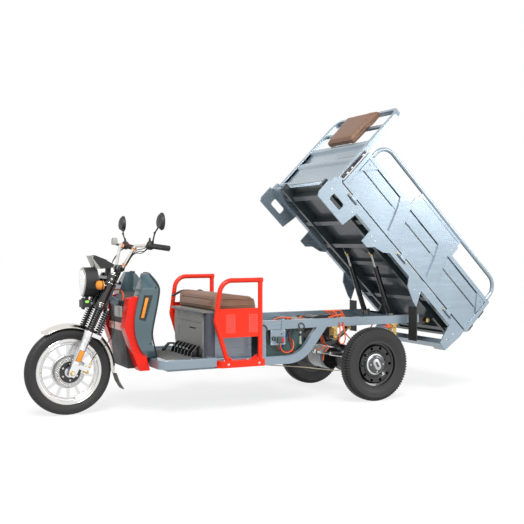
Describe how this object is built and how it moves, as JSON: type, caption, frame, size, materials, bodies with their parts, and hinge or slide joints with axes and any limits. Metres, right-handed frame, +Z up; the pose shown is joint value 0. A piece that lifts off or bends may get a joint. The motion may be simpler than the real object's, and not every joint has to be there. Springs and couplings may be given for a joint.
{
  "type": "electric cargo tricycle",
  "caption": "Electric cargo tricycle with a bench seat, red side guards and a hinged cargo bed tipped up on two struts, with drop-down gates.",
  "frame": {"origin": "on the ground, midway between the foremost and rearmost points with the bed raised, on the middle plane", "axes": "+X ahead, +Y to the rider's left, +Z up"},
  "size_m": [3.4754, 1.011, 2.1112],
  "materials": {
    "bed_paint": "blue-grey metallic paint, satin gloss",
    "under_paint": "dark slate paint, satin",
    "chassis_paint": "blue-grey metallic paint, satin gloss",
    "red_paint": "bright red enamel, glossy",
    "red_plastic": "bright red moulded plastic, glossy",
    "slate_plastic": "slate grey-green moulded plastic, semi-gloss",
    "black_plastic": "black moulded plastic, fine grain",
    "grey_plastic": "grey-beige moulded plastic",
    "black_metal": "black paint, semi-gloss",
    "green_metal": "dark green paint, satin",
    "gold_metal": "yellow zinc plating",
    "chrome": "polished chrome",
    "alloy": "silver lacquered cast aluminium",
    "steel": "ground steel",
    "tyre": "black tyre rubber",
    "rubber": "black rubber",
    "grey_rubber": "grey rubber sheet",
    "brown_cover": "brown leatherette",
    "lens": "clear moulded lens",
    "orange_lens": "orange lens",
    "wire": "orange and red insulated wires"
  },
  "bodies": {
    "chassis": {"frame_rear": "chassis_paint", "frame_front": "chassis_paint", "hinge_brackets": "black_metal", "rear_axle": "black_metal", "leaf_springs": "black_metal", "spring_shackles": "gold_metal", "battery_box": "green_metal", "switch_plate": "chassis_paint", "floor_tub": "chassis_paint", "seat_box": "chassis_paint", "seat_cover": "grey_plastic", "seat_cushion": "brown_cover", "floor_controls": "black_metal", "guard_left": "red_paint", "guard_right": "red_paint", "leg_shield": "slate_plastic", "shield_liner": "black_plastic", "shield_cheeks": "red_plastic", "front_trunk": "black_plastic", "harness": "wire"},
    "steering": {"fork_legs": "alloy", "fork_springs": "black_metal", "fork_yokes": "black_metal", "caliper": "alloy", "handlebar": "chrome", "grips": "rubber", "mirrors": "black_plastic", "display_pod": "black_plastic", "headlamp_housing": "black_plastic", "headlamp_lens": "lens", "indicators": "orange_lens", "fender_flap": "grey_rubber", "front_fender": "chrome", "brake_hose": "rubber"},
    "front_wheel": {"front_tyre": "tyre", "front_rim": "alloy", "front_disc": "black_metal"},
    "rear_wheel_left": {"rear_tyre_left": "tyre", "rear_rim_left": "black_metal", "rear_hub_left": "alloy"},
    "rear_wheel_right": {"rear_tyre_right": "tyre", "rear_rim_right": "black_metal", "rear_hub_right": "alloy"},
    "bed": {"bed_floor": "under_paint", "bed_beams": "under_paint", "side_rail_left": "bed_paint", "side_rail_right": "bed_paint", "rear_valance": "bed_paint", "headboard": "bed_paint", "backrest_pad": "brown_cover", "bed_latches": "black_metal"},
    "gate_left": {"gate_left": "bed_paint"},
    "gate_right": {"gate_right": "bed_paint"},
    "tailgate": {"tailgate": "bed_paint"},
    "strut_cylinder_left": {"strut_cylinder_left": "black_metal"},
    "strut_cylinder_right": {"strut_cylinder_right": "black_metal"},
    "strut_rod_left": {"strut_rod_left": "steel"},
    "strut_rod_right": {"strut_rod_right": "steel"},
    "mud_flap_left": {"mud_flap_left": "rubber"},
    "mud_flap_right": {"mud_flap_right": "rubber"}
  },
  "joints": [
    {"name": "steering_turn", "type": "hinge", "parent": "chassis", "child": "steering", "pos_m": [1.18796, 0, 0.76915], "axis": [-0.4067, 0, 0.9135], "range_deg": [-40, 40]},
    {"name": "front_wheel_spin", "type": "hinge", "parent": "steering", "child": "front_wheel", "pos_m": [1.45278, 0, 0.285], "axis": [0, 1, 0], "continuous": true},
    {"name": "rear_wheel_left_spin", "type": "hinge", "parent": "chassis", "child": "rear_wheel_left", "pos_m": [-0.63422, 0.4565, 0.2625], "axis": [0, 1, 0], "continuous": true},
    {"name": "rear_wheel_right_spin", "type": "hinge", "parent": "chassis", "child": "rear_wheel_right", "pos_m": [-0.63422, -0.4565, 0.2625], "axis": [0, 1, 0], "continuous": true},
    {"name": "bed_tip", "type": "hinge", "parent": "chassis", "child": "bed", "pos_m": [-1.19422, 0, 0.545], "axis": [0, 1, 0], "range_deg": [0, 45]},
    {"name": "gate_left_drop", "type": "hinge", "parent": "bed", "child": "gate_left", "pos_m": [-0.90431, 0.456, 0.98341], "axis": [-0.7071, 0, -0.7071], "range_deg": [0, 150]},
    {"name": "gate_right_drop", "type": "hinge", "parent": "bed", "child": "gate_right", "pos_m": [-0.90431, -0.456, 0.98341], "axis": [0.7071, 0, 0.7071], "range_deg": [0, 150]},
    {"name": "tailgate_drop", "type": "hinge", "parent": "bed", "child": "tailgate", "pos_m": [-1.44595, 0, 0.44459], "axis": [0, -1, 0], "range_deg": [0, 150]},
    {"name": "strut_left_swing", "type": "hinge", "parent": "chassis", "child": "strut_cylinder_left", "pos_m": [-0.96422, 0.17, 0.582], "axis": [0, 1, 0], "range_deg": [0, 65.07]},
    {"name": "strut_left_extend", "type": "slide", "parent": "strut_cylinder_left", "child": "strut_rod_left", "axis": [0.3383, 0, 0.941], "range_m": [-0.0882, 0]},
    {"name": "mud_flap_left_swing", "type": "hinge", "parent": "bed", "child": "mud_flap_left", "pos_m": [-1.00613, 0.408, 0.65672], "axis": [0, 1, 0], "range_deg": [-45, 0]},
    {"name": "strut_right_swing", "type": "hinge", "parent": "chassis", "child": "strut_cylinder_right", "pos_m": [-0.96422, -0.17, 0.582], "axis": [0, 1, 0], "range_deg": [0, 65.07]},
    {"name": "strut_right_extend", "type": "slide", "parent": "strut_cylinder_right", "child": "strut_rod_right", "axis": [0.3383, 0, 0.941], "range_m": [-0.0882, 0]},
    {"name": "mud_flap_right_swing", "type": "hinge", "parent": "bed", "child": "mud_flap_right", "pos_m": [-1.00613, -0.408, 0.65672], "axis": [0, 1, 0], "range_deg": [-45, 0]}
  ],
  "couplings": [
    {"joint": "strut_left_swing", "follows": "bed_tip", "ratio": 1.4349},
    {"joint": "strut_left_extend", "follows": "bed_tip", "m_per_rad": -0.11099},
    {"joint": "mud_flap_left_swing", "follows": "bed_tip", "ratio": -1},
    {"joint": "strut_right_swing", "follows": "bed_tip", "ratio": 1.4349},
    {"joint": "strut_right_extend", "follows": "bed_tip", "m_per_rad": -0.11099},
    {"joint": "mud_flap_right_swing", "follows": "bed_tip", "ratio": -1}
  ]
}
